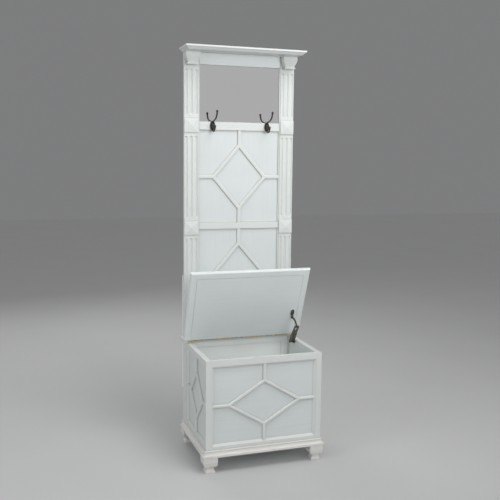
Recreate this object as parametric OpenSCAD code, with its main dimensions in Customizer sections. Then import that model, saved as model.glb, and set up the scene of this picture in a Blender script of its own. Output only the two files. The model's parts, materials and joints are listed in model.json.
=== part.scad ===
// Hall tree: storage chest bench with a hinged lid, and above it a fluted back
// frame with a mirror, two coat hooks and two lattice panels.
// Millimetres. +X points right seen from the front, -Y is the front, +Z is up.
// The origin is on the floor, under the centre of the bounding box.
// The lid is drawn open: that is the rest pose.

/* [Overall] */
// Width of the chest body and of the back frame
body_w = 550; // [520:1:620]
// Depth of the chest body, front face to rear face
body_d = 423; // [400:1:480]
// Height from the floor to the top of the cornice
total_h = 1900; // [1880:1:1960]
// Height of the chest rim
rim_z = 510; // [495:1:525]

/* [Chest] */
// Thickness of the chest front and sides
wall_t = 24; // [20:1:28]
// Visible width of the chest stiles and top rails
chest_rail = 26; // [22:1:34]
// Top of the chest bottom rails
chest_low_z = 117; // [110:1:126]
// Width of the rear stile of a chest side
rear_stile_w = 67; // [60:1:76]
// Depth from frame face to panel face
recess = 12; // [9:0.5:13]
// Thickness of every chest panel
panel_t = 8; // [6:0.5:9]
// Set-back of the inner back wall behind the hinge axis
back_set = 16; // [10:1:24]
// Thickness of the inner back wall
back_t = 20; // [16:1:22]
// Thickness of the floor board
floor_t = 12; // [9:1:18]

/* [Feet and base moulding] */
// Height of a foot
foot_h = 74; // [70:1:84]
// Width of a foot's upper block
foot_w = 64; // [58:1:72]
// How far the base moulding stands out
base_out = 15; // [10:1:20]
// Height of the base moulding
base_h = 30; // [26:1:34]

/* [Lid] */
// Width of the lid and of the fixed seat board
lid_w = 590; // [580:1:640]
// Lid depth from the hinge axis to its front edge
lid_d = 371; // [364:1:390]
// Thickness of the lid
lid_t = 20; // [18:1:22]
// Gap under the closed lid
lid_gap = 1; // [0.6:0.1:2]
// Angle of the open lid above level
lid_open = 68.2; // [60:0.1:75]
// Width of the strips that frame the lid
lid_strip = 33; // [26:1:40]
// Length of the piano hinge
hinge_l = 546; // [480:2:560]

/* [Back frame] */
// Thickness of the back frame stiles
frame_t = 21; // [19:1:24]
// Width of a fluted stile
stile_w = 74; // [72:1:84]
// Width of the fluted face of a stile
fluted_w = 68; // [64:1:70]
// Height of the middle of the hook rail
hook_rail_z = 1544; // [1530:1:1560]
// Height of the middle of the middle rail
mid_rail_z = 1066; // [1056:1:1080]
// Height of the bottom rail
low_rail_h = 75; // [68:1:84]
// Height of the frieze board
frieze_h = 54; // [48:1:60]
// Width of the bars of the back lattices
bar_w = 17; // [12:1:20]

/* [Cornice and capitals] */
// Height of the cornice
cornice_h = 19; // [17:1:24]
// Side overhang of the cornice
cornice_out = 18; // [14:1:22]
// Depth of the cornice
cornice_d = 138; // [120:1:150]
// Height of a capital
capital_h = 59; // [55:1:62]
// Depth of a capital in front of the frame
capital_d = 42; // [38:1:46]

/* [Coat hooks] */
// Distance of each hook from the middle
hook_x = 137; // [110:1:150]
// Radius of a hook's prongs
prong_r = 3.8; // [3:0.1:4.4]

/* [Lid stay] */
// Forward distance from hinge axis to the stay's wall pivot
stay_f = 62; // [58:1:66]
// Drop from hinge axis to the stay's wall pivot
stay_drop = 33.7; // [33:0.1:36.5]
// Distance along the lid from hinge axis to the lid pivot
stay_reach = 104; // [92:1:110]

/* [Hidden] */
$fn = 48;
eps = 0.01;
painted = [0.93, 0.93, 0.91];
bare_wood = [0.72, 0.58, 0.42];
bronze = [0.16, 0.13, 0.11];
brass = [0.72, 0.55, 0.28];
steel = [0.62, 0.62, 0.64];
silvered = [0.80, 0.82, 0.84];

// Main planes
half_w = body_w / 2;
half_lid = lid_w / 2;
batten_t = 20;
total_d = base_out + body_d + batten_t;
front_y = -total_d / 2 + base_out;
rear_y = front_y + body_d;
inner_y = front_y + wall_t;
inner_x = half_w - wall_t;
body_z = foot_h;
rail_z = rim_z - chest_rail;
recess_h = rail_z - chest_low_z;
recess_z = (rail_z + chest_low_z) / 2;

// Piano hinge: pin axis, knuckle and leaf
hinge_set = 75;
leaf_t = 1.5;
knuckle_r = 3;
leaf_gap = 2.2;
leaf_h = 16;
knuckles = 13;
pin_r = 1.2;
pin_y = rear_y - hinge_set;
pin_z = rim_z + lid_gap + lid_t + leaf_gap;
seat_top = pin_z - leaf_gap;
seat_y = pin_y + leaf_gap;
wall_y = pin_y + back_set;
lid_low = leaf_gap + lid_t;

// Chest openings for panels
side_y0 = inner_y;
side_y1 = rear_y - rear_stile_w;
stick_w = 12;
bar_up = 9;
side_bar_up = 11;
chest_bar = 15.5;

// Back frame
frame_y = rear_y - frame_t;
strip_set = 3;
rail_y = frame_y + 2;
open_x = half_w - stile_w;
soffit_z = total_h - cornice_h;
frieze_z = soffit_z - frieze_h;
hook_rail_h = 38;
mid_rail_h = 30;
low_top = seat_top + low_rail_h;
mid_low = mid_rail_z - mid_rail_h / 2;
mid_top = mid_rail_z + mid_rail_h / 2;
hook_low = hook_rail_z - hook_rail_h / 2;
hook_top = hook_rail_z + hook_rail_h / 2;
back_panel_t = 6;
back_panel_y = rear_y - 11;
back_bar_up = 7;
pilaster_x = half_w - fluted_w / 2;
flute_pitch = 24;
flute_w = 14;
flute_deep = 5;
flute_r = (pow(flute_w / 2, 2) + pow(flute_deep, 2)) / (2 * flute_deep);
block_h = 66;
block_edge = 5;
block_peak = 5;
block_z = [seat_top + 37, mid_rail_z - 8, hook_rail_z];
flute_gap = 16;
neck_z = frieze_z - 24;

// Mirror
glass_t = 4;
glass_set = 8.5;
glass_y = frame_y + glass_set;
backing_t = 6;

// Coat hooks, sizes forward of the rail face and from the rail's middle
plate_w = 24;
plate_h = 45;
plate_t = 4;
long_root = [1, 16.5];
long_line = 49;
long_rise = [14, 80];
long_r = 44;
short_arc = [23, -4, 23];
short_turn = [205, 352];
knob_r = 5.6;
small_knob_r = 4.8;

// Rear battens and screws
batten_w = 60;
batten_z = [266, 824];
batten_screw_z = [310, 440, 640, 780];
screw_r = 2;
head_r = 4.2;
head_t = 2.4;

// Lid stay: pivots forward of and above the hinge axis
lid_pivot_drop = 30;
stay_x = 239;
link_w = 18;
cheek_t = 2;
arm_t = 5;
arm_bow = 10;
barrel_r = 6.5;
stay_pin_r = 3;
rivet_r = 2.5;
run_gap = 0.06;
open_pivot_gap = 0.15;
link_l = sqrt(pow(stay_reach, 2) + pow(lid_pivot_drop, 2));
link_turn = atan2(-lid_pivot_drop, stay_reach) + lid_open;
link_half = [[0, 9], [14, 10.8], [32, 12.2], [52, 11.6], [72, 9.6], [92, 7.6], [link_l, 6.6]];

// ---------- shared shapes ----------

// A box from its low corner to its high corner
module box(low, high) {
  translate(low) cube(high - low);
}

// Mirrors a right-hand shape to the left when side is -1
module on_side(side) {
  if (side > 0) children();
  else mirror([1, 0, 0]) children();
}

// Points on an ellipse arc
function arc(cx, cz, rx, rz, a0, a1, steps) =
  [for (i = [0 : steps]) let (a = a0 + (a1 - a0) * i / steps) [cx + rx * cos(a), cz + rz * sin(a)]];

// Closed outline from the half widths on one side
function both_sides(half) =
  concat(half, [for (i = [len(half) - 1 : -1 : 0]) [-half[i][0], half[i][1]]]);

// Outlines in X-Z and Y-Z crossed into one solid with mitred corners
module crossed(outline_xz, outline_yz, reach) {
  intersection() {
    rotate([90, 0, 0]) linear_extrude(height = reach, center = true) polygon(outline_xz);
    rotate([90, 0, 90]) linear_extrude(height = reach, center = true) polygon(outline_yz);
  }
}

// Square vase: the same outline on all four sides
module square_vase(half) {
  crossed(both_sides(half), both_sides(half), 4 * foot_w);
}

// Places a side view: local x is forward, local y is up, local z points to -X
module side_view(x, y, z) {
  translate([x, y, z]) rotate([90, 0, -90]) children();
}

// Mitred frame of chamfered sticking round a recess, face towards -Y
module sticking(w, h) {
  outline = [[0, 1], [0, recess], [stick_w, recess], [stick_w, recess - 1.5], [2, 1]];
  module strip(long, across) {
    intersection() {
      translate([0, 0, -across / 2]) rotate([90, 0, 90])
        linear_extrude(height = long, center = true) polygon([for (p = outline) [p[1], p[0]]]);
      rotate([90, 0, 0]) linear_extrude(height = 4 * recess, center = true)
        polygon([[-long / 2, -across / 2], [long / 2, -across / 2],
                 [long / 2 - stick_w, stick_w - across / 2], [stick_w - long / 2, stick_w - across / 2]]);
    }
  }
  for (turn = [0, 180]) rotate([0, turn, 0]) strip(w, h);
  for (turn = [90, 270]) rotate([0, turn, 0]) strip(h, w);
}

// One straight lattice bar of the given length, centred, with its crowned face towards -Y
module lattice_bar(long, w, up, crown) {
  rotate([90, 0, 90]) linear_extrude(height = long, center = true)
    polygon(concat([[0, w / 2]], arc(crown - up, 0, crown, w / 2, 90, 270, 10), [[0, -w / 2]]));
}

// Diamond with a short bar from each corner to the frame, back face on Y = 0
module lattice(open_w, open_h, dia_w, dia_h, w, up, crown) {
  long = sqrt(pow(dia_w / 2, 2) + pow(dia_h / 2, 2));
  lean = atan2(dia_h, dia_w);
  stub_x = (open_w - dia_w) / 2;
  stub_z = (open_h - dia_h) / 2;
  for (sx = [0, 1], sz = [0, 1]) mirror([sx, 0, 0]) mirror([0, 0, sz])
    intersection() {
      box([0, -2 * up, 0], [open_w / 2, up, open_h / 2]);
      translate([dia_w / 4, 0, dia_h / 4]) rotate([0, lean, 0]) lattice_bar(2 * long, w, up, crown);
    }
  for (s = [-1, 1]) {
    translate([s * (open_w - stub_x) / 2, 0, 0]) lattice_bar(stub_x, w, up, crown);
    translate([0, 0, s * (open_h - stub_z) / 2]) rotate([0, 90, 0]) lattice_bar(stub_z, w, up, crown);
  }
}

// Round head and shank of a screw, head top at the origin, shank towards +Y
module screw(r_head, shank_l) {
  rotate([-90, 0, 0]) {
    cylinder(r = r_head, h = head_t);
    translate([0, 0, head_t]) cylinder(r = screw_r, h = shank_l);
  }
}

// ---------- feet and base moulding ----------

function foot_half() = concat(
  [[22.5, 0], [22.5, 6]],
  arc(30, 20, 14, 14, 235, 180, 6),
  arc(16, 46, 15.5, 20, -90, 0, 8),
  [[30.5, 46.5], [30.5, 48], [foot_w / 2, 48.5], [foot_w / 2, foot_h]]);

module foot(side, y) {
  x = half_w + base_out - 4 - foot_w / 2;
  color(painted) translate([side * x, y, 0]) square_vase(foot_half());
}

foot_front_y = front_y - base_out + 3 + foot_w / 2;
foot_rear_y = rear_y - foot_w / 2;

// Standing-out distance and height of the base moulding's face: fillet, cove and bead
function base_face() = concat(
  [[0, 0], [base_out, 0], [base_out, 9], [base_out - 3, 9.8]],
  arc(base_out - 3, base_h - 6, base_out - 7.5, base_h - 16, 260, 180, 8),
  arc(4.5, base_h - 3, 2, 2.6, -80, 80, 6),
  [[4, base_h], [0, base_h]]);

module base_moulding_front() {
  out = half_w + base_out;
  color(painted) intersection() {
    translate([0, front_y, body_z]) rotate([90, 0, 90])
      linear_extrude(height = 2 * out, center = true)
        polygon([for (p = base_face()) [-p[0], p[1]]]);
    linear_extrude(height = rim_z)
      polygon([[-out, front_y - base_out], [out, front_y - base_out],
               [half_w, front_y], [-half_w, front_y]]);
  }
}

module base_moulding_side(side) {
  out = half_w + base_out;
  color(painted) on_side(side) intersection() {
    translate([half_w, rear_y, body_z]) rotate([90, 0, 0])
      linear_extrude(height = body_d + base_out) polygon(base_face());
    linear_extrude(height = rim_z)
      polygon([[out, front_y - base_out], [out, rear_y], [half_w, rear_y], [half_w, front_y]]);
  }
}

// ---------- chest ----------

module chest_front_stile(side) {
  color(painted) on_side(side)
    box([half_w - chest_rail, front_y, body_z], [half_w, inner_y, rim_z]);
}

module chest_front_top_rail() {
  color(painted) box([chest_rail - half_w, front_y, rail_z], [half_w - chest_rail, inner_y, rim_z]);
}

module chest_front_bottom_rail() {
  color(painted)
    box([chest_rail - half_w, front_y, body_z], [half_w - chest_rail, inner_y, chest_low_z]);
}

module chest_front_panel() {
  color(painted) box([chest_rail - half_w, front_y + recess, chest_low_z],
                     [half_w - chest_rail, front_y + recess + panel_t, rail_z]);
}

module chest_front_sticking() {
  color(painted) translate([0, front_y, recess_z]) sticking(body_w - 2 * chest_rail, recess_h);
}

module chest_front_lattice() {
  w = body_w - 2 * chest_rail;
  color(painted) translate([0, front_y, recess_z]) difference() {
    translate([0, recess, 0]) lattice(w, recess_h, 335, 202, chest_bar, bar_up, 5);
    sticking(w, recess_h);
  }
}

module chest_side_rear_stile(side) {
  color(painted) on_side(side) box([inner_x, side_y1, body_z], [half_w, rear_y, rim_z]);
}

module chest_side_top_rail(side) {
  color(painted) on_side(side) box([inner_x, side_y0, rail_z], [half_w, side_y1, rim_z]);
}

module chest_side_bottom_rail(side) {
  color(painted) on_side(side) box([inner_x, side_y0, body_z], [half_w, side_y1, chest_low_z]);
}

module chest_side_panel(side) {
  color(painted) on_side(side)
    box([half_w - recess - panel_t, side_y0, chest_low_z], [half_w - recess, side_y1, rail_z]);
}

// The side lattice carries its own chamfered border, worked in one piece
module chest_side_lattice(side) {
  w = side_y1 - side_y0;
  color(painted) on_side(side)
    translate([half_w, (side_y0 + side_y1) / 2, recess_z]) rotate([0, 0, 90]) {
      translate([0, recess, 0]) lattice(w, recess_h, 212, 212, chest_bar, side_bar_up, 5);
      sticking(w, recess_h);
    }
}

module inner_back_frame() {
  stile = 34;
  top = 30;
  low = 60;
  color(painted) difference() {
    box([-inner_x, wall_y, body_z], [inner_x, wall_y + back_t, rim_z]);
    box([stile - inner_x, wall_y - 1, body_z + low], [inner_x - stile, rear_y, rim_z - top]);
  }
}

module inner_back_panel() {
  stile = 34;
  top = 30;
  low = 60;
  set = 6;
  color(painted) box([stile - inner_x, wall_y + set, body_z + low],
                     [inner_x - stile, wall_y + set + panel_t, rim_z - top]);
}

module chest_floor_board() {
  lift = 8;
  color(painted)
    box([-inner_x, inner_y, body_z + lift], [inner_x, wall_y, body_z + lift + floor_t]);
}

module rear_cross_rails() {
  rail = 60;
  color(painted) for (z = [body_z, rim_z - rail])
    box([-inner_x, rear_y - back_t, z], [inner_x, rear_y, z + rail]);
}

// Edge nose: set-back and height, for a board of the given thickness
function nose(t) = concat(arc(7, 12, 7, 12, 270, 180, 6), arc(6, 12, 6, t - 12, 180, 90, 5));

module seat_board() {
  t = seat_top - rim_z;
  half = [for (p = nose(t)) [half_lid - p[0], p[1]]];
  color(painted) translate([0, rear_y, rim_z]) rotate([90, 0, 0])
    linear_extrude(height = rear_y - seat_y) polygon(both_sides(half));
}

// ---------- piano hinge ----------

segment = hinge_l / knuckles;

// One leaf in the closed pose: y_side 1 is the fixed one, -1 the lid's
module hinge_leaf(y_side) {
  first = y_side > 0 ? 0 : 1;
  clear = 0.4;
  play = 0.3;
  near = leaf_gap - leaf_t;
  difference() {
    union() {
      mirror([0, y_side > 0 ? 0 : 1, 0])
        box([-hinge_l / 2, near, -leaf_h], [hinge_l / 2, leaf_gap, 0]);
      for (i = [first : 2 : knuckles - 1])
        translate([-hinge_l / 2 + i * segment + play / 2, 0, 0]) rotate([0, 90, 0])
          cylinder(r = knuckle_r, h = segment - play);
    }
    for (i = [1 - first : 2 : knuckles - 1])
      box([-hinge_l / 2 + i * segment - play / 2, -4, -knuckle_r - clear],
          [-hinge_l / 2 + (i + 1) * segment + play / 2, 4, 4]);
    rotate([0, 90, 0]) cylinder(r = pin_r + run_gap, h = hinge_l + 2, center = true);
  }
}

module hinge_fixed_leaf() {
  color(brass) translate([0, pin_y, pin_z]) hinge_leaf(1);
}

module hinge_pin() {
  color(brass) translate([0, pin_y, pin_z]) rotate([0, 90, 0])
    cylinder(r = pin_r, h = hinge_l, center = true);
}

// ---------- lid ----------

// Turns a closed-pose shape, drawn from the pin axis, to the open lid
module on_lid() {
  translate([0, pin_y, pin_z]) rotate([-lid_open, 0, 0]) children();
}

module lid_panel() {
  set = 4;
  color(painted) on_lid()
    box([lid_strip - half_lid, lid_strip - lid_d, -lid_low],
        [half_lid - lid_strip, -leaf_gap - lid_strip, -leaf_gap - set]);
}

// Cross-section of a lid strip: set-back from the edge and height, with a small inner groove
function strip_face() = concat(nose(lid_t), [[lid_strip, lid_t], [lid_strip, 2], [lid_strip - 2, 0]]);

module lid_frame_strips() {
  front = -lid_d;
  color(painted) on_lid() translate([0, 0, -lid_low]) {
    intersection() {
      translate([0, front, 0]) rotate([90, 0, 90])
        linear_extrude(height = lid_w, center = true) polygon(strip_face());
      linear_extrude(height = lid_t)
        polygon([[-half_lid, front], [half_lid, front],
                 [half_lid - lid_strip, front + lid_strip], [lid_strip - half_lid, front + lid_strip]]);
    }
    for (side = [-1, 1]) on_side(side) intersection() {
      translate([0, -leaf_gap, 0]) rotate([90, 0, 0]) linear_extrude(height = lid_d - leaf_gap)
        polygon([for (p = strip_face()) [half_lid - p[0], p[1]]]);
      linear_extrude(height = lid_t)
        polygon([[half_lid, front], [half_lid, 0], [half_lid - lid_strip, 0],
                 [half_lid - lid_strip, front + lid_strip]]);
    }
    box([lid_strip - half_lid, -leaf_gap - lid_strip, 0], [half_lid - lid_strip, -leaf_gap, lid_t]);
  }
}

module hinge_lid_leaf() {
  color(brass) on_lid() hinge_leaf(-1);
}

// ---------- lid stay ----------

// A bracket or link drawn from a pivot, in side view, from x_right towards -X
module stay_plate(x_right, thick) {
  side_view(x_right, 0, 0) linear_extrude(height = thick) children();
}

bracket_screws_f = [-11, 11];
wall_plate_t = 2.4;
wall_head_r = 3.2;

module at_wall_pivot() {
  translate([0, pin_y - stay_f, pin_z - stay_drop]) children();
}

module stay_wall_bracket() {
  r = 9.5;
  cap_r = 5;
  cap_t = 2;
  play = 0.4;
  cheek_in = link_w / 2 - cheek_t;
  left = stay_x - link_w / 2 - play;
  color(bronze) at_wall_pivot() {
    stay_plate(inner_x, wall_plate_t) difference() {
      union() {
        square([2 * bracket_screws_f[1], 2 * r], center = true);
        for (f = bracket_screws_f) translate([f, 0]) circle(r);
      }
      for (f = bracket_screws_f) translate([1.3 * f, 0]) circle(wall_head_r + run_gap);
    }
    stay_plate(inner_x - wall_plate_t + eps, inner_x - wall_plate_t + eps - left) circle(stay_pin_r);
    stay_plate(stay_x + cheek_in - play, 2 * (cheek_in - play)) circle(barrel_r);
    stay_plate(left + eps, cap_t) circle(cap_r);
  }
}

// Flush heads that fill the plate's holes
module stay_wall_screws() {
  color(bronze) at_wall_pivot() for (f = bracket_screws_f)
    stay_plate(inner_x, wall_plate_t) translate([1.3 * f, 0]) circle(wall_head_r);
}

function half_at(s) = lookup(s, link_half);

module leaf_outline() {
  step = 6;
  last = floor(link_l / step);
  polygon(concat([for (i = [0 : last]) [step * i, -half_at(step * i)]],
                 [for (i = [last : -1 : 0]) [step * i, half_at(step * i)]]));
  circle(half_at(0));
  translate([link_l, 0]) circle(half_at(link_l));
}

module stay_link() {
  web = [for (s = [14 : 6 : link_l - 12]) s];
  right = stay_x + link_w / 2;
  color(bronze) at_wall_pivot() {
    difference() {
      union() {
        for (x = [right, stay_x - link_w / 2 + cheek_t])
          stay_plate(x, cheek_t) rotate(link_turn) leaf_outline();
        stay_plate(right, link_w) rotate(link_turn)
          polygon(concat([for (s = web) [s, -half_at(s)]],
                         [for (i = [len(web) - 1 : -1 : 0]) [web[i], cheek_t - half_at(web[i])]]));
      }
      stay_plate(right + 1, link_w + 2) circle(stay_pin_r + run_gap);
    }
    stay_plate(right + 1, link_w + 2) rotate(link_turn) translate([link_l, 0]) circle(rivet_r);
  }
}

// Arm from the lid pivot to the elbow: it stays parallel to the line from wall pivot to pin
function arm_mid(s, long) = [s * long, arm_bow * 4 * s * (1 - s)];

module stay_arm() {
  long = sqrt(pow(stay_f, 2) + pow(stay_drop, 2));
  turn = atan2(-stay_drop, stay_f);
  half = 4.2;
  ends = 5;
  hub_l = link_w - 2 * cheek_t - 0.8;
  steps = [for (i = [0 : 10]) i / 10];
  color(bronze) at_lid_pivot() {
    difference() {
      union() {
        stay_plate(stay_x + arm_t / 2, arm_t) rotate(turn) {
          polygon(concat([for (s = steps) arm_mid(s, long) + [0, -half]],
                         [for (i = [10 : -1 : 0]) arm_mid(i / 10, long) + [0, half]]));
          circle(ends);
          translate([long, 0]) circle(ends);
        }
        stay_plate(stay_x + hub_l / 2, hub_l) rotate(turn) translate([long, 0]) circle(ends);
      }
      stay_plate(stay_x + link_w, 2 * link_w) circle(rivet_r + run_gap);
      stay_plate(stay_x + link_w, 2 * link_w) rotate(turn) translate([long, 0])
        circle(rivet_r + open_pivot_gap);
    }
  }
}

module at_lid_pivot() {
  on_lid() translate([0, -stay_reach, -lid_pivot_drop]) rotate([lid_open, 0, 0]) children();
}

lid_plate_t = 2.4;
lid_plate_f = [8, 40];
lid_plate_r = 9;
lid_screws_f = [21.5, 33];

module stay_lid_bracket() {
  ear_t = 2.4;
  ear_r = 5.6;
  play = 0.2;
  base = lid_pivot_drop - lid_low;
  low = base - lid_plate_t;
  color(bronze) on_lid() translate([0, -stay_reach, -lid_pivot_drop]) {
    difference() {
      translate([stay_x, 0, low]) linear_extrude(height = lid_plate_t) {
        for (f = [lid_plate_f[0] + lid_plate_r, lid_plate_f[1] - lid_plate_r])
          translate([0, -f]) circle(lid_plate_r);
        translate([-lid_plate_r, lid_plate_r - lid_plate_f[1]])
          square([2 * lid_plate_r, lid_plate_f[1] - lid_plate_f[0] - 2 * lid_plate_r]);
      }
      for (f = lid_screws_f) translate([stay_x, -f, 0]) cylinder(r = screw_r + run_gap, h = 2 * base);
    }
    for (x = [stay_x + arm_t / 2 + play + ear_t, stay_x - arm_t / 2 - play])
      stay_plate(x, ear_t) {
        circle(ear_r);
        polygon([[-ear_r * sin(45), ear_r * sin(45)], [ear_r * sin(35), -ear_r * cos(35)],
                 [lid_plate_f[0] + 9, low + eps], [lid_plate_f[0] + 1, low + eps]]);
      }
    stay_plate(stay_x + arm_t / 2 + play + ear_t + 1, arm_t + 2 * (play + ear_t) + 2) circle(rivet_r);
  }
}

module stay_lid_screws() {
  base = lid_pivot_drop - lid_low;
  color(bronze) on_lid() translate([stay_x, -stay_reach, -lid_pivot_drop]) for (f = lid_screws_f)
    translate([0, -f, base - lid_plate_t]) {
      translate([0, 0, -1.2]) cylinder(r = 3, h = 1.2);
      cylinder(r = screw_r, h = lid_plate_t);
    }
}

// ---------- back frame ----------

// Lower and upper end of each run of flutes
function flute_runs() = [
  [block_z[0] + block_h / 2 + flute_gap, block_z[1] - block_h / 2 - flute_gap],
  [block_z[1] + block_h / 2 + flute_gap, block_z[2] - block_h / 2 - flute_gap],
  [block_z[2] + block_h / 2 + flute_gap, neck_z]];

module frame_stile(side) {
  color(painted) on_side(side) difference() {
    box([open_x, frame_y, seat_top], [half_w, rear_y, soffit_z]);
    box([open_x - 1, frame_y - 1, seat_top - 1],
        [half_w - fluted_w, frame_y + strip_set, soffit_z + 1]);
    for (run = flute_runs(), k = [-1, 0, 1])
      translate([pilaster_x + k * flute_pitch, frame_y - flute_r + flute_deep, 0]) {
        translate([0, 0, run[0] + flute_r]) cylinder(r = flute_r, h = run[1] - run[0] - 2 * flute_r);
        for (z = [run[0] + flute_r, run[1] - flute_r]) translate([0, 0, z]) sphere(r = flute_r);
      }
    for (z = batten_screw_z) if (z > seat_top)
      translate([half_w - batten_w / 2, rear_y, z]) rotate([90, 0, 0])
        cylinder(r = screw_r + run_gap, h = 14, $fn = 24);
  }
}

module pyramid_blocks() {
  w = fluted_w / 2;
  h = block_h / 2;
  top = block_edge + block_peak;
  color(painted) for (side = [-1, 1], z = block_z)
    on_side(side) translate([pilaster_x, frame_y, z]) rotate([90, 0, 0])
      crossed([[-w, 0], [w, 0], [w, block_edge], [0, top], [-w, block_edge]],
              [[-h, 0], [h, 0], [h, block_edge], [0, top], [-h, block_edge]], 4 * w);
}

function capital_half() = concat(
  [[23.5, 0]], arc(23.5, 4, 3.2, 4, -90, 90, 6),
  [for (u = [0 : 0.1 : 1]) [23.5 + (fluted_w / 2 - 23.5) * pow(sin(90 * u), 1.1), 12 + 34 * u]],
  [[fluted_w / 2, capital_h]]);

module capital(side) {
  centre_y = frame_y - capital_d + fluted_w / 2;
  color(painted) on_side(side) intersection() {
    translate([pilaster_x, centre_y, soffit_z - capital_h]) square_vase(capital_half());
    box([open_x, frame_y - capital_d, frieze_z - 10], [half_w, frame_y, soffit_z]);
  }
}

// Cornice face: set-back from the outer edge and height, a hollow slope under a fillet
function cornice_face() =
  let (rise = cornice_h - 8, set = cornice_out - 2.5)
  concat([for (u = [0 : 0.125 : 1]) [1.5 + (set - 1.5) * pow(1 - u, 0.8), rise * u]],
         [[0, rise + 0.5], [0, cornice_h]]);

module cornice() {
  half = half_w + cornice_out;
  face = cornice_face();
  color(painted) translate([0, rear_y, soffit_z])
    crossed(both_sides([for (p = face) [half - p[0], p[1]]]),
            concat([[0, 0]], [for (p = face) [p[0] - cornice_d, p[1]]], [[0, cornice_h]]), 3 * half);
}

module frieze_board() {
  color(painted) box([-open_x, frame_y + 1, frieze_z], [open_x, rear_y - 3, soffit_z]);
}

module cross_rail(z0, z1) {
  color(painted) box([-open_x, rail_y, z0], [open_x, rear_y, z1]);
}

module hook_rail() {
  difference() {
    cross_rail(hook_low, hook_top);
    for (x = [-hook_x, hook_x], z = hook_screw_z)
      translate([x, rail_y, hook_rail_z + z]) rotate([-90, 0, 0])
        cylinder(r = screw_r + run_gap, h = 12, $fn = 24);
  }
}

module middle_rail() {
  cross_rail(mid_low, mid_top);
}

module bottom_rail() {
  cross_rail(seat_top, low_top);
}

module back_panels() {
  color(painted) for (z = [[low_top, mid_low], [mid_top, hook_low]])
    box([-open_x, back_panel_y, z[0]], [open_x, back_panel_y + back_panel_t, z[1]]);
}

module back_lattice(z0, z1) {
  color(painted) translate([0, back_panel_y, (z0 + z1) / 2])
    lattice(2 * open_x, z1 - z0, 259, 301, bar_w, back_bar_up, 1.5);
}

module upper_lattice() {
  back_lattice(mid_top, hook_low);
}

module lower_lattice() {
  back_lattice(low_top, mid_low);
}

module mirror_glass() {
  gap = 0.5;
  color(silvered)
    box([gap - open_x, glass_y, hook_top + gap], [open_x - gap, glass_y + glass_t, frieze_z - gap]);
}

module mirror_backing() {
  color(bare_wood)
    box([-open_x, glass_y + glass_t, hook_top], [open_x, glass_y + glass_t + backing_t, frieze_z]);
}

module rear_battens() {
  color(painted) for (side = [-1, 1]) on_side(side) difference() {
    box([half_w - batten_w, rear_y, batten_z[0]], [half_w, rear_y + batten_t, batten_z[1]]);
    for (z = batten_screw_z)
      translate([half_w - batten_screw_x(z), rear_y + batten_t, z]) rotate([90, 0, 0]) {
        translate([0, 0, -1]) cylinder(r = head_r + 0.2, h = head_t + 1);
        cylinder(r = screw_r + run_gap, h = batten_t + 1, $fn = 24);
      }
  }
}

// Screws into the chest side sit over its thin edge, those above in the stile's middle
function batten_screw_x(z) = z > seat_top ? batten_w / 2 : wall_t / 2;

module batten_screws() {
  color(steel) for (side = [-1, 1], z = batten_screw_z) on_side(side)
    translate([half_w - batten_screw_x(z), rear_y + batten_t, z]) mirror([0, 1, 0])
      screw(head_r, batten_t - head_t + (z > seat_top ? 12 : 0));
}

// ---------- coat hooks ----------

hook_screw_z = [-5, 5];

// Shapes of a hook in side view: local x forward of the rail face, local y up
module hook_side() {
  side_view(0, rail_y, hook_rail_z) children();
}

// Part of a round-section ring: centre, radius and the two end angles
module bent_rod(centre, r, turn) {
  translate([centre[0], centre[1], 0]) rotate([0, 0, turn[0]])
    rotate_extrude(angle = turn[1] - turn[0]) translate([r, 0]) circle(prong_r);
}

module coat_hook(side) {
  oval = arc(0, 0, plate_w / 2, plate_h / 2, 0, 350, 35);
  lean = [cos(long_rise[0]), sin(long_rise[0])];
  bend = long_root + long_line * lean;
  centre = bend + long_r * [-lean[1], lean[0]];
  tip = centre + long_r * [sin(long_rise[1]), -cos(long_rise[1])];
  color(bronze) translate([side * hook_x, 0, 0]) difference() {
    union() {
      translate([0, rail_y, hook_rail_z]) rotate([90, 0, 0])
        linear_extrude(height = plate_t) polygon(oval);
      hook_side() {
        translate([long_root[0], long_root[1], 0]) rotate([0, 0, long_rise[0]]) rotate([0, 90, 0])
          cylinder(r = prong_r, h = long_line);
        translate([bend[0], bend[1], 0]) sphere(r = prong_r + 0.1);
        bent_rod(centre, long_r, [long_rise[0] - 90, long_rise[1] - 90]);
        translate([tip[0], tip[1], 0]) sphere(r = knob_r);
        bent_rod(short_arc, short_arc[2], short_turn);
        translate([short_arc[0] + short_arc[2], short_arc[1], 0]) sphere(r = small_knob_r);
      }
    }
    translate([-plate_w, rail_y, hook_rail_z - plate_h]) cube([2 * plate_w, plate_h, 2 * plate_h]);
    for (z = hook_screw_z) translate([0, rail_y + 1, hook_rail_z + z]) rotate([90, 0, 0])
      cylinder(r = screw_r + run_gap, h = plate_t + 2, $fn = 24);
  }
}

module hook_screws() {
  head = 1.2;
  color(bronze) for (x = [-hook_x, hook_x], z = hook_screw_z)
    translate([x, rail_y - plate_t, hook_rail_z + z]) rotate([-90, 0, 0]) {
      translate([0, 0, -head]) cylinder(r = 3.4, h = head);
      cylinder(r = screw_r, h = plate_t + 10, $fn = 24);
    }
}

// ---------- output ----------

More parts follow.
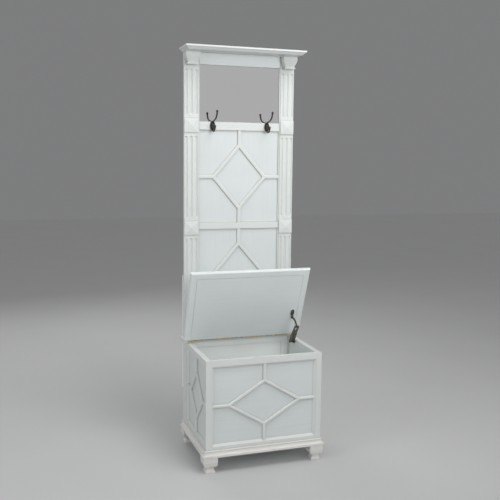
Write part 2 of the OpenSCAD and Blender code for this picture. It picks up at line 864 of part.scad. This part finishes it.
foot(-1, foot_front_y);  // foot_front_left
foot(1, foot_front_y);  // foot_front_right
foot(-1, foot_rear_y);  // foot_rear_left
foot(1, foot_rear_y);  // foot_rear_right
base_moulding_front();
base_moulding_side(-1);  // base_moulding_left
base_moulding_side(1);  // base_moulding_right
chest_front_stile(-1);  // chest_front_stile_left
chest_front_stile(1);  // chest_front_stile_right
chest_front_top_rail();
chest_front_bottom_rail();
chest_front_panel();
chest_front_sticking();
chest_front_lattice();
chest_side_rear_stile(-1);  // chest_left_rear_stile
chest_side_top_rail(-1);  // chest_left_top_rail
chest_side_bottom_rail(-1);  // chest_left_bottom_rail
chest_side_panel(-1);  // chest_left_panel
chest_side_lattice(-1);  // chest_left_lattice
chest_side_rear_stile(1);  // chest_right_rear_stile
chest_side_top_rail(1);  // chest_right_top_rail
chest_side_bottom_rail(1);  // chest_right_bottom_rail
chest_side_panel(1);  // chest_right_panel
chest_side_lattice(1);  // chest_right_lattice
inner_back_frame();
inner_back_panel();
chest_floor_board();
rear_cross_rails();
seat_board();
hinge_fixed_leaf();
hinge_pin();
stay_wall_bracket();
stay_wall_screws();
frame_stile(-1);  // frame_stile_left
frame_stile(1);  // frame_stile_right
pyramid_blocks();
capital(-1);  // capital_left
capital(1);  // capital_right
cornice();
frieze_board();
hook_rail();
middle_rail();
bottom_rail();
back_panels();
upper_lattice();
lower_lattice();
mirror_glass();
mirror_backing();
rear_battens();
batten_screws();
coat_hook(-1);  // coat_hook_left
coat_hook(1);  // coat_hook_right
hook_screws();
lid_panel();
lid_frame_strips();
hinge_lid_leaf();
stay_lid_bracket();
stay_lid_screws();
stay_link();
stay_arm();
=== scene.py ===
import json
import math

import bmesh
import bpy
from mathutils import Matrix, Vector


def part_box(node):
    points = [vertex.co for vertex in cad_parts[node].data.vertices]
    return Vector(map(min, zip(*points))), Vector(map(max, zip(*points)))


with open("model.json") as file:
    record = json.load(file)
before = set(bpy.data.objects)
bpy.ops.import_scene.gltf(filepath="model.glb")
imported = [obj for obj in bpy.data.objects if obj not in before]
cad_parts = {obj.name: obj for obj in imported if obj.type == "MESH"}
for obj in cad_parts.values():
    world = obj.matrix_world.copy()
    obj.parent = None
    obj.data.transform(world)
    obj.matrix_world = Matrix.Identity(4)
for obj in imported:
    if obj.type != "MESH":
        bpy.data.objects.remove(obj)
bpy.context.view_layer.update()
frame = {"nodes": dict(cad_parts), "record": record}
NODES = frame["nodes"]
SLOT_OF = {part["node"]: part["material_slot"] for part in frame["record"]["subparts"]}

# ---------- camera ----------

# Place in metres, angles in degrees.
CAMERA_AT = (-1.1043, -3.2333, 1.3842)
CAMERA_YAW = 18.758
CAMERA_DOWN = 6.962
CAMERA_ROLL = 0.61
LENS_MM = 53.09
SENSOR_MM = 36.0


def make_camera():
    """Looks along +Y, turned by the yaw towards +X, then tilted down and rolled."""
    yaw, down, roll = (math.radians(a) for a in (CAMERA_YAW, CAMERA_DOWN, CAMERA_ROLL))
    forward = Vector((math.sin(yaw) * math.cos(down), math.cos(yaw) * math.cos(down), -math.sin(down)))
    right = Vector((math.cos(yaw), -math.sin(yaw), 0))
    up = right.cross(forward)
    x_axis = math.cos(roll) * right + math.sin(roll) * up
    y_axis = -math.sin(roll) * right + math.cos(roll) * up
    data = bpy.data.cameras.new("camera")
    data.lens = LENS_MM
    data.sensor_width = SENSOR_MM
    camera = bpy.data.objects.new("camera", data)
    bpy.context.scene.collection.objects.link(camera)
    turn = Matrix((x_axis, y_axis, -forward)).transposed().to_4x4()
    camera.matrix_world = Matrix.Translation(CAMERA_AT) @ turn
    bpy.context.scene.camera = camera


make_camera()

# ---------- studio ----------

# The surround in front of the object (-Y), where the mirror looks, and behind it (+Y). One fades
# into the other between these fractions of the way from front to back.
IN_FRONT = (0.42, 0.42, 0.42)
BEHIND = (0.205, 0.207, 0.21)
FADE_START = 0.25
FADE_END = 0.80

WHITE_LIGHT = (1.0, 1.0, 1.0)
KEY_LIGHT = (1.0, 1.0, 0.995)
COOL_LIGHT = (0.97, 0.985, 1.0)


def area_light(name, at, target, size, watts, colour, spread=180):
    """A rectangular light, aimed at a point, that neither the camera nor a reflection shows."""
    data = bpy.data.lights.new(name, "AREA")
    data.shape = "RECTANGLE"
    data.size, data.size_y = size
    data.energy = watts
    data.color = colour
    data.spread = math.radians(spread)
    light = bpy.data.objects.new(name, data)
    bpy.context.scene.collection.objects.link(light)
    light.location = at
    aim = Vector(target) - Vector(at)
    light.rotation_euler = aim.to_track_quat("-Z", "Y").to_euler()
    light.visible_camera = False
    light.visible_glossy = False


def make_backdrop():
    """A plain surround, darker behind the object than in front of it."""
    world = bpy.data.worlds.new("studio")
    world.use_nodes = True
    tree = world.node_tree
    coords = tree.nodes.new("ShaderNodeTexCoord")
    split = tree.nodes.new("ShaderNodeSeparateXYZ")
    place = tree.nodes.new("ShaderNodeMapRange")
    ramp = tree.nodes.new("ShaderNodeValToRGB")
    place.inputs["From Min"].default_value = -1
    tree.links.new(coords.outputs["Generated"], split.inputs[0])
    tree.links.new(split.outputs["Y"], place.inputs["Value"])
    tree.links.new(place.outputs["Result"], ramp.inputs["Fac"])
    stops = ((FADE_START, IN_FRONT), (FADE_END, BEHIND))
    for element, (at, colour) in zip(ramp.color_ramp.elements, stops):
        element.position = at
        element.color = (*colour, 1)
    tree.links.new(ramp.outputs["Color"], tree.nodes["Background"].inputs["Color"])
    bpy.context.scene.world = world


def make_studio():
    """Soft light from the front right, from above, from the left and from behind."""
    area_light("key", at=(0.7, -2.4, 1.75), target=(0, 0, 1.85), size=(1.2, 1.0), watts=11.5,
               colour=KEY_LIGHT, spread=120)
    area_light("top", at=(0.6, -1.1, 3.2), target=(0, 0, 0.4), size=(1.6, 1.6), watts=33,
               colour=WHITE_LIGHT)
    area_light("side", at=(-2.8, -1.0, 1.8), target=(0, 0, 0.8), size=(1.4, 1.8), watts=18,
               colour=COOL_LIGHT)
    area_light("rear", at=(-0.6, 3.0, 2.6), target=(0, 0, 0.9), size=(1.8, 1.8), watts=30,
               colour=WHITE_LIGHT)
    make_backdrop()
    bpy.context.scene.view_settings.view_transform = "Standard"


make_studio()

# ---------- shader nodes ----------

BLACK = (0, 0, 0)
WHITE = (1, 1, 1)
OCCLUSION_SAMPLES = 8

# Socket numbers of a Mix node that is set to colours.
MIX_FACTOR, MIX_A, MIX_B, MIX_OUT = 0, 6, 7, 2


def grey(value):
    return (value, value, value)


def scaled(colour, factor):
    return tuple(c * factor for c in colour)


def towards_white(colour, part):
    """The colour moved part of the way to white."""
    return tuple(c + (1 - c) * part for c in colour)


def stretched(across, along, axis):
    """Texture scales for marks that are fine across one axis and long along it."""
    scale = [across, across, across]
    scale[axis] = along
    return scale


class Nodes:
    """One material, and short calls that add and link its shader nodes."""

    def __init__(self, name):
        self.material = bpy.data.materials.new(name)
        self.material.use_nodes = True
        self.tree = self.material.node_tree
        self.shader = self.tree.nodes["Principled BSDF"]

    def add(self, kind, values=None, **settings):
        node = self.tree.nodes.new(kind)
        for key, value in settings.items():
            setattr(node, key, value)
        for key, value in (values or {}).items():
            if isinstance(value, bpy.types.NodeSocket):
                self.tree.links.new(value, node.inputs[key])
            else:
                node.inputs[key].default_value = value
        return node

    def link(self, out, socket):
        self.tree.links.new(out, self.shader.inputs[socket])

    def fixed(self, socket, value):
        """A shader value that is the same all over the surface."""
        self.shader.inputs[socket].default_value = value

    def roughness(self, noise, low, spread):
        self.link(self.math("MULTIPLY_ADD", noise, spread, low), "Roughness")

    def ramp(self, fac, *stops):
        """Colours along fac. Each stop is a position from 0 to 1 and a colour, in rising order."""
        node = self.add("ShaderNodeValToRGB", {"Fac": fac})
        ramp = node.color_ramp
        while len(ramp.elements) < len(stops):
            ramp.elements.new(0.5)
        for element, (at, colour) in zip(ramp.elements, stops):
            element.position = at
            element.color = (*colour, 1)
        return node.outputs["Color"]

    def math(self, kind, a, b=0.0, c=0.0):
        return self.add("ShaderNodeMath", {0: a, 1: b, 2: c}, operation=kind).outputs[0]

    def mix(self, fac, a, b, blend="MIX"):
        values = {MIX_FACTOR: fac, MIX_A: a, MIX_B: b}
        node = self.add("ShaderNodeMix", values, data_type="RGBA", blend_type=blend)
        return node.outputs[MIX_OUT]

    def multiply(self, a, b):
        return self.mix(1.0, a, b, "MULTIPLY")

    def coords(self, scale=(1, 1, 1)):
        """Object coordinates in metres, times a scale for each axis."""
        coords = self.add("ShaderNodeTexCoord").outputs["Object"]
        return self.add("ShaderNodeMapping", {"Vector": coords, "Scale": scale}).outputs["Vector"]

    def noise(self, vector, scale, detail, roughness=0.5):
        """Noise from 0 to 1, with about scale blotches to each unit of the vector."""
        values = {"Vector": vector, "Scale": scale, "Detail": detail, "Roughness": roughness}
        return self.add("ShaderNodeTexNoise", values).outputs["Fac"]

    def openness(self, reach, **settings):
        """1 on an open surface, less where other surfaces within reach close it in."""
        settings["samples"] = OCCLUSION_SAMPLES
        return self.add("ShaderNodeAmbientOcclusion", {"Distance": reach}, **settings).outputs["AO"]

    def edge(self, reach):
        """0 on a broad surface, more within reach of its own sharp edges."""
        return self.math("SUBTRACT", 1.0, self.openness(reach, inside=True, only_local=True))

    def bump(self, height, strength, distance):
        """Relief up to distance metres high, tempered by the strength."""
        values = {"Strength": strength, "Distance": distance, "Height": height}
        self.link(self.add("ShaderNodeBump", values).outputs["Normal"], "Normal")


# ---------- materials ----------

RAIL_WHITE = (0.742, 0.772, 0.758)   # rails, stiles, mouldings and lattices
SHADED_PANEL_WHITE = (0.722, 0.766, 0.762)  # back and chest panels, a little darker and bluer than the rails as painted shade in their recesses
LIT_COOL_WHITE = (0.800, 0.846, 0.842)   # lid and frieze: cooler, and lighter than the rails as painted light on their shaded faces
BOUNCE_LIT_WARM_WHITE = (0.800, 0.790, 0.768)   # feet and base moulding: warmer, as painted warm light bounced up from the floor
LIT_INNER_WHITE = (0.925, 0.955, 0.940)  # inside and rear of the chest, lighter than the outside as painted light where little light reaches

# Glaze and painted shade in the hollows, how much its border is faded and how unevenly it lies.
GLAZE_AND_SHADE = (0.600, 0.568, 0.520)
FAINT_GLAZE_AND_SHADE = (0.86, 0.85, 0.825)
GLAZE_AND_SHADE_FADE = 0.72
GLAZE_AND_SHADE_UNEVENNESS = 0.16

# The undercoat on rubbed edges, how readily it shows, and how much brighter rubbed metal is; the
# brighter metal edges are wear and also a painted highlight.
UNDERCOAT = (0.76, 0.72, 0.64)
PAINT_WEAR = 1.1
METAL_RUB_HIGHLIGHT = 2.8

SILVER = ((0.94, 0.95, 0.945), (0.965, 0.97, 0.965))
BOARD_BROWN = ((0.16, 0.09, 0.045), (0.30, 0.19, 0.10))

# How far glaze and painted shade, paint wear, painted shade on metal, and metal wear with its painted
# highlight reach from a corner, in metres.
GLAZE_AND_SHADE_REACH = 0.007
WEAR_REACH = 0.0035
METAL_HOLLOW_SHADE_REACH = 0.004
METAL_RUB_AND_HIGHLIGHT_REACH = 0.0025

# Roughness of the paint.
SATIN = 0.40
MATT = 0.52


def paint(name, axis, white, rough=SATIN, glaze_and_shade=GLAZE_AND_SHADE):
    """Brushed white paint over wood: streaks run along one axis, glaze and painted shade
    darken the hollows, and the sharp edges are rubbed a little thin."""
    m = Nodes(name)
    brush = m.noise(m.coords(stretched(110.0, 2.6, axis)), scale=1.5, detail=4.0, roughness=0.62)
    bristle = m.noise(m.coords(stretched(460.0, 8.0, axis)), scale=1.0, detail=2.0)
    cloud = m.noise(m.coords(), scale=4.5, detail=4.0)
    patchy = m.noise(m.coords(), scale=26.0, detail=4.0, roughness=0.6)

    body = m.ramp(cloud, (0.32, scaled(white, 0.975)), (0.70, scaled(white, 1.015)))
    streaks = m.ramp(brush, (0.28, (0.972, 0.972, 0.970)), (0.56, WHITE))
    brushed = m.multiply(body, streaks)

    wear = m.math("MULTIPLY", m.edge(WEAR_REACH), m.ramp(patchy, (0.42, BLACK), (0.66, WHITE)))
    worn = m.mix(m.math("MULTIPLY", wear, PAINT_WEAR), brushed, (*UNDERCOAT, 1))

    # Glaze and painted shade: the colour darkens where other surfaces close in.
    unevenness = m.math("MULTIPLY", m.math("SUBTRACT", patchy, 0.5), GLAZE_AND_SHADE_UNEVENNESS)
    glaze_and_shade_mask = m.math("ADD", m.openness(GLAZE_AND_SHADE_REACH), unevenness)
    glaze_and_shade_tint = m.ramp(glaze_and_shade_mask, (0.36, glaze_and_shade), (0.66, towards_white(glaze_and_shade, GLAZE_AND_SHADE_FADE)), (0.92, WHITE))
    m.link(m.multiply(worn, glaze_and_shade_tint), "Base Color")

    m.roughness(bristle, low=rough - 0.09, spread=0.18)
    m.bump(m.math("MULTIPLY_ADD", brush, 0.6, m.math("MULTIPLY", bristle, 0.4)),
           strength=0.16, distance=0.0008)
    m.fixed("IOR", 1.47)
    m.fixed("Coat Weight", 0.05)
    m.fixed("Coat Roughness", 0.32)
    return m.material


def paint_set(name, white, rough=SATIN, glaze_and_shade=GLAZE_AND_SHADE):
    """The same paint brushed along X, along Y and along Z."""
    return [paint(f"{name}_{letter}", axis, white, rough, glaze_and_shade) for axis, letter in enumerate("xyz")]


def metal(name, dark, light, rough, scale):
    """Cast or rolled metal: mottled colour, edges rubbed bright as wear and a painted highlight,
    painted shade in hollows, uneven polish, faint pitting.
    """
    m = Nodes(name)
    mottle = m.noise(m.coords(), scale, detail=5.0, roughness=0.65)
    base = m.ramp(mottle, (0.32, dark), (0.72, light))
    rubbing_and_highlight = m.ramp(mottle, (0.35, grey(0.2)), (0.60, WHITE))
    # Rubbed edges: wear, brightened further as a painted highlight along the metal's edges.
    rubbed_and_highlit = m.math("MULTIPLY", m.edge(METAL_RUB_AND_HIGHLIGHT_REACH), rubbing_and_highlight)
    worn = m.mix(rubbed_and_highlit, base, (*scaled(light, METAL_RUB_HIGHLIGHT), 1))
    # Painted shade: the metal darkens where other surfaces close in.
    painted_hollow_shade = m.ramp(m.openness(METAL_HOLLOW_SHADE_REACH), (0.35, grey(0.45)), (0.80, WHITE))
    m.link(m.multiply(worn, painted_hollow_shade), "Base Color")
    m.roughness(mottle, low=rough - 0.12, spread=0.25)
    m.bump(mottle, strength=0.25, distance=0.0004)
    m.fixed("Metallic", 0.85)
    return m.material


def silvered():
    """Mirror glass: bright metal with a slight uneven haze."""
    m = Nodes("mirror_silver")
    haze = m.noise(m.coords(), scale=3.0, detail=4.0)
    m.link(m.ramp(haze, (0.3, SILVER[0]), (0.7, SILVER[1])), "Base Color")
    m.roughness(haze, low=0.01, spread=0.05)
    m.fixed("Metallic", 1.0)
    return m.material


def hardboard():
    """Brown pressed board: fine fibres and soft patches."""
    m = Nodes("brown_board")
    fibre = m.noise(m.coords(), scale=700.0, detail=3.0)
    patch = m.noise(m.coords(), scale=9.0, detail=3.0)
    both = m.math("MULTIPLY_ADD", fibre, 0.5, m.math("MULTIPLY", patch, 0.5))
    m.link(m.ramp(both, (0.35, BOARD_BROWN[0]), (0.65, BOARD_BROWN[1])), "Base Color")
    m.bump(fibre, strength=0.3, distance=0.0004)
    m.fixed("Roughness", 0.75)
    return m.material


PAINTS = {
    "painted_wood": paint_set("painted_wood", RAIL_WHITE),
    "painted_lit_cool": paint_set("painted_lit_cool", LIT_COOL_WHITE, glaze_and_shade=FAINT_GLAZE_AND_SHADE),
    "painted_bounce_lit_warm": paint_set("painted_bounce_lit_warm", BOUNCE_LIT_WARM_WHITE),
    "painted_panel": paint_set("painted_panel", SHADED_PANEL_WHITE),
    # The inside paint is lighter than the outside as painted light.
    "painted_inner_wood": paint_set("painted_inner", LIT_INNER_WHITE, MATT),
}
UNBRUSHED = {
    "dark_bronze": metal("dark_bronze", dark=(0.040, 0.038, 0.034), light=(0.140, 0.132, 0.116),
                         rough=0.34, scale=140.0),
    "brass": metal("aged_brass", dark=(0.30, 0.22, 0.12), light=(0.50, 0.38, 0.22),
                   rough=0.42, scale=160.0),
    "steel": metal("screw_steel", dark=(0.35, 0.35, 0.36), light=(0.60, 0.60, 0.62),
                   rough=0.38, scale=260.0),
    "mirror": silvered(),
    "backing_board": hardboard(),
}

# ---------- finishes on the CAD nodes ----------

LIT_COOL_NODES = ("lid_panel", "lid_frame_strips", "frieze_board")
BOUNCE_LIT_WARM_PREFIXES = ("foot_", "base_moulding_")

# Bevel width in metres for each slot, and the least angle of an edge that gets one.
EASED = {"painted_wood": 0.0012, "painted_panel": 0.0008, "painted_inner_wood": 0.001,
         "dark_bronze": 0.0006}
EASED_OVER = math.radians(40)


def longest_axis(name):
    low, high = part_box(name)
    size = high - low
    return max(range(3), key=lambda axis: size[axis])


def finish_of(name):
    """The node's material. Paint is brushed along the node's longest side."""
    slot = SLOT_OF[name]
    if slot in UNBRUSHED:
        return UNBRUSHED[slot]
    # The lid and frieze get a lighter, cooler copy of the paint as painted light.
    if name in LIT_COOL_NODES:
        slot = "painted_lit_cool"
    # The feet and base moulding get a warmer copy of the paint as painted bounce light.
    if name.startswith(BOUNCE_LIT_WARM_PREFIXES):
        slot = "painted_bounce_lit_warm"
    return PAINTS[slot][longest_axis(name)]


def put_finish(name, node):
    materials = node.data.materials
    if not materials:
        materials.append(finish_of(name))
    for index in range(len(materials)):
        materials[index] = finish_of(name)


def ease_edges(node, width):
    """Rounds the sharp edges of a CAD node a little without touching its mesh."""
    bevel = node.modifiers.new("eased_edges", "BEVEL")
    bevel.width = width
    bevel.segments = 2
    bevel.limit_method = "ANGLE"
    bevel.angle_limit = EASED_OVER


for name, node in NODES.items():
    put_finish(name, node)
    if SLOT_OF[name] in EASED:
        ease_edges(node, EASED[SLOT_OF[name]])

# ---------- floor ----------

FLOOR_REACH = 14.0
FLOOR_DARK = (0.590, 0.592, 0.595)
FLOOR_LIGHT = (0.605, 0.607, 0.610)


def floor_finish():
    m = Nodes("floor")
    patch = m.noise(m.coords(), scale=2.0, detail=2.0)
    m.link(m.ramp(patch, (0.3, FLOOR_DARK), (0.7, FLOOR_LIGHT)), "Base Color")
    m.fixed("Roughness", 0.8)
    return m.material


def make_floor():
    mesh = bpy.data.meshes.new("floor")
    bm = bmesh.new()
    corners = ((-1, -1), (1, -1), (1, 1), (-1, 1))
    bm.faces.new([bm.verts.new((x * FLOOR_REACH, y * FLOOR_REACH, 0)) for x, y in corners])
    bm.to_mesh(mesh)
    bm.free()
    mesh.materials.append(floor_finish())
    floor = bpy.data.objects.new("floor", mesh)
    bpy.context.scene.collection.objects.link(floor)


make_floor()
